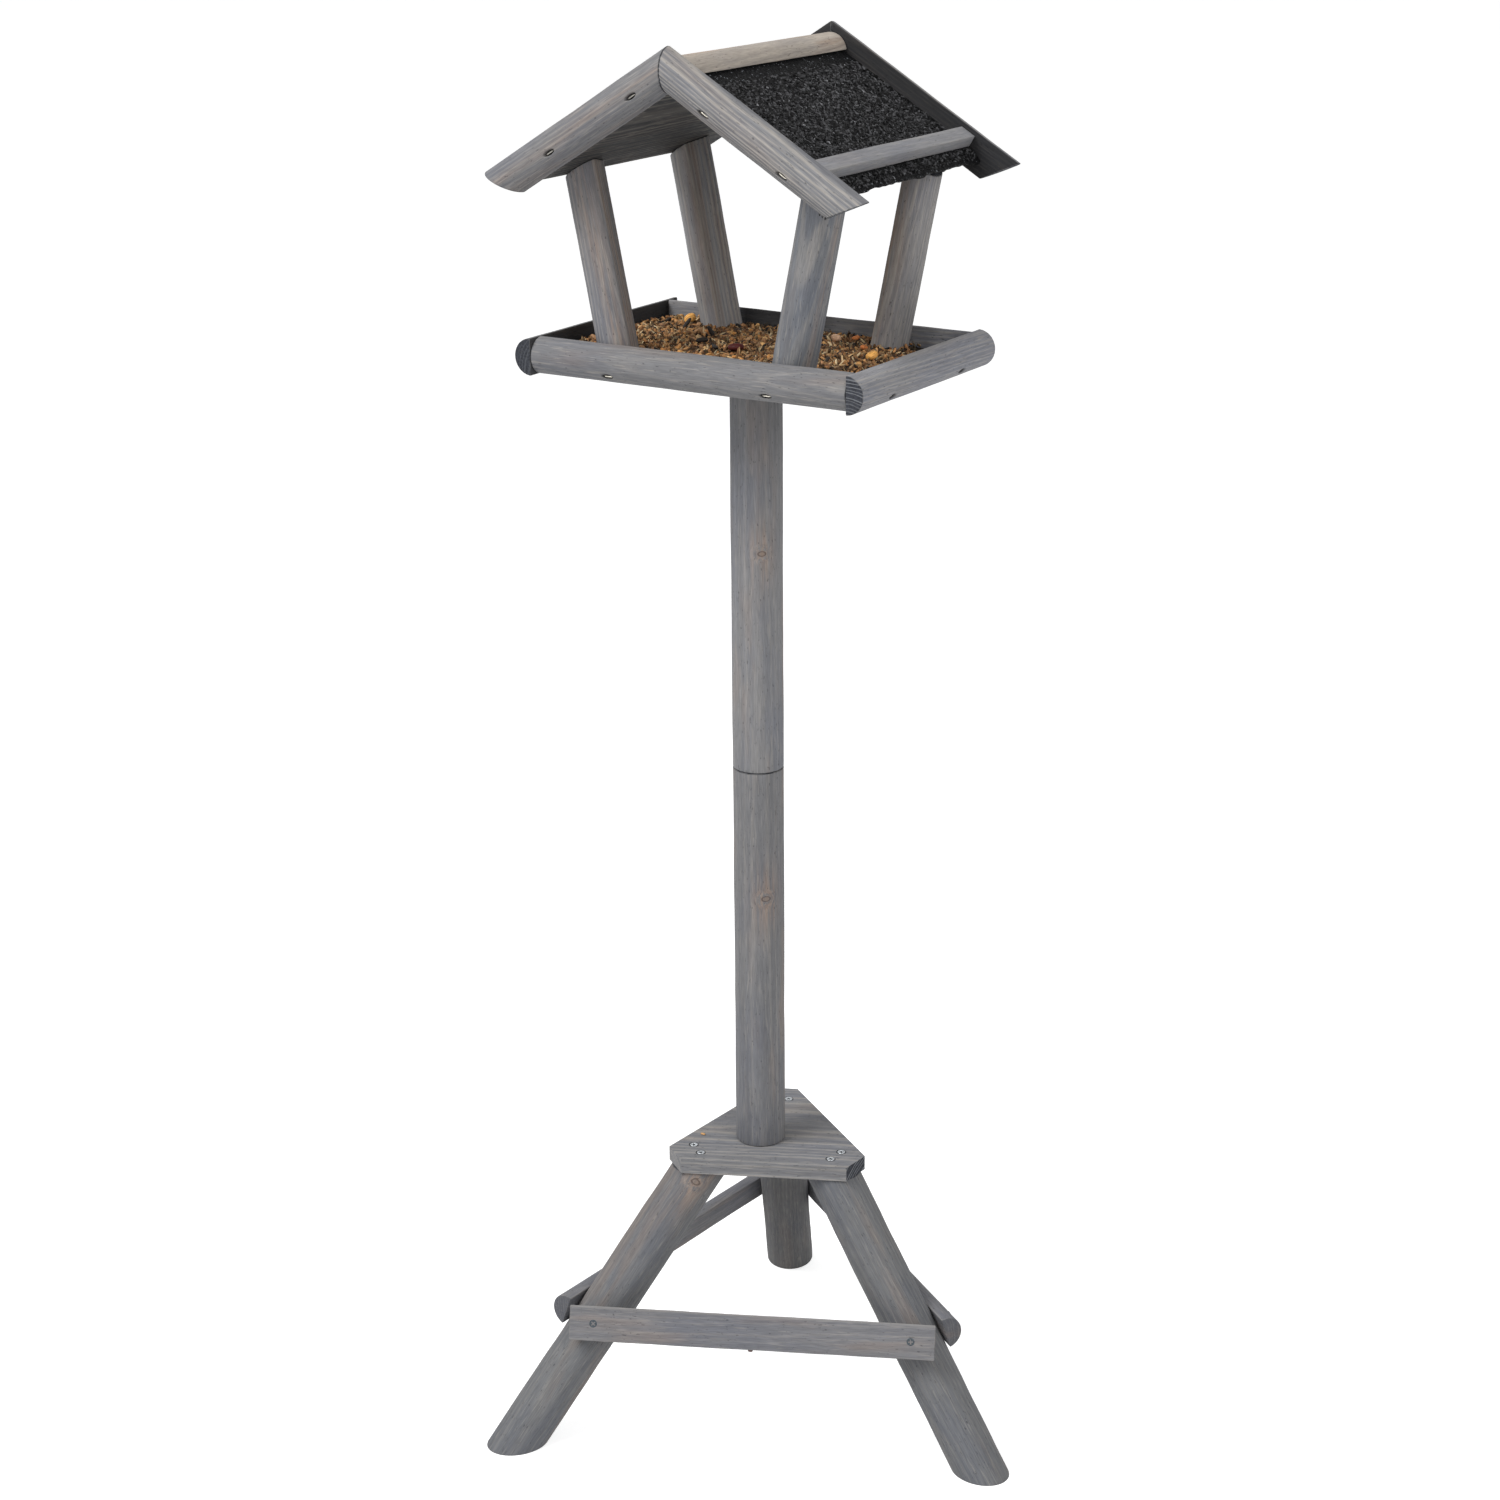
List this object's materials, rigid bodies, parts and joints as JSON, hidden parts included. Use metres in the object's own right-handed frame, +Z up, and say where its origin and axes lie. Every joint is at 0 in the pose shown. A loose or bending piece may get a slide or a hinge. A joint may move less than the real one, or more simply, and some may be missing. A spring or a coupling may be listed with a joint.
{
  "type": "bird table",
  "caption": "Freestanding timber bird table: leaning tripod legs with braces, round post, railed seed tray, leaning pillars and a felted gable roof.",
  "frame": {"origin": "on the ground, under the middle of the table's bounding box", "axes": "+Z up along the post; X runs along the gables, +X to the right seen from the front; Y runs along the ridge, and the front gable faces -Y"},
  "size_m": [0.4032, 0.426, 1.1175],
  "materials": {
    "grey_wood": "grey-stained softwood, weathered, matt",
    "warm_wood": "grey-stained softwood with warm beige grain, matt",
    "board_wood": "grey-stained softwood board, darker, matt",
    "roofing_felt": "mineral-surfaced bitumen felt, granular, dull with small glints",
    "screw_steel": "zinc-plated countersunk screws",
    "staple_steel": "bright galvanised wire staples",
    "seed": "mixed dry bird seed, loose grains"
  },
  "bodies": {
    "root": {"brace_front": "grey_wood", "brace_left": "grey_wood", "brace_right": "grey_wood", "brace_screw_front_front_left": "screw_steel", "brace_screw_front_front_right": "screw_steel", "brace_screw_left_front_left": "screw_steel", "brace_screw_left_rear": "screw_steel", "brace_screw_right_front_right": "screw_steel", "brace_screw_right_rear": "screw_steel", "eave_batten_left": "grey_wood", "eave_batten_right": "grey_wood", "gable_board_back_left": "grey_wood", "gable_board_back_right": "grey_wood", "gable_board_front_left": "grey_wood", "gable_board_front_right": "grey_wood", "gable_staple_back_left_1": "staple_steel", "gable_staple_back_left_2": "staple_steel", "gable_staple_back_right_1": "staple_steel", "gable_staple_back_right_2": "staple_steel", "gable_staple_front_left_1": "staple_steel", "gable_staple_front_left_2": "staple_steel", "gable_staple_front_right_1": "staple_steel", "gable_staple_front_right_2": "staple_steel", "leg_front_left": "grey_wood", "leg_front_right": "grey_wood", "leg_rear": "grey_wood", "pillar_back_left": "warm_wood", "pillar_back_right": "warm_wood", "pillar_front_left": "warm_wood", "pillar_front_right": "warm_wood", "plate_screw_front_left_1": "screw_steel", "plate_screw_front_left_2": "screw_steel", "plate_screw_front_right_1": "screw_steel", "plate_screw_front_right_2": "screw_steel", "plate_screw_rear_1": "screw_steel", "plate_screw_rear_2": "screw_steel", "post_dowel_screw": "screw_steel", "post_foot_screw": "screw_steel", "post_lower": "grey_wood", "post_top_screw": "screw_steel", "post_upper": "grey_wood", "rail_back": "grey_wood", "rail_front": "grey_wood", "rail_left": "grey_wood", "rail_right": "grey_wood", "rail_staple_back_1": "staple_steel", "rail_staple_back_2": "staple_steel", "rail_staple_front_1": "staple_steel", "rail_staple_front_2": "staple_steel", "rail_staple_left_1": "staple_steel", "rail_staple_left_2": "staple_steel", "rail_staple_right_1": "staple_steel", "rail_staple_right_2": "staple_steel", "ridge_batten": "warm_wood", "roof_board_left": "board_wood", "roof_board_right": "board_wood", "roof_felt": "roofing_felt", "seed_heap": "seed", "tray_floor": "board_wood", "tripod_plate": "grey_wood"}
  },
  "joints": []
}
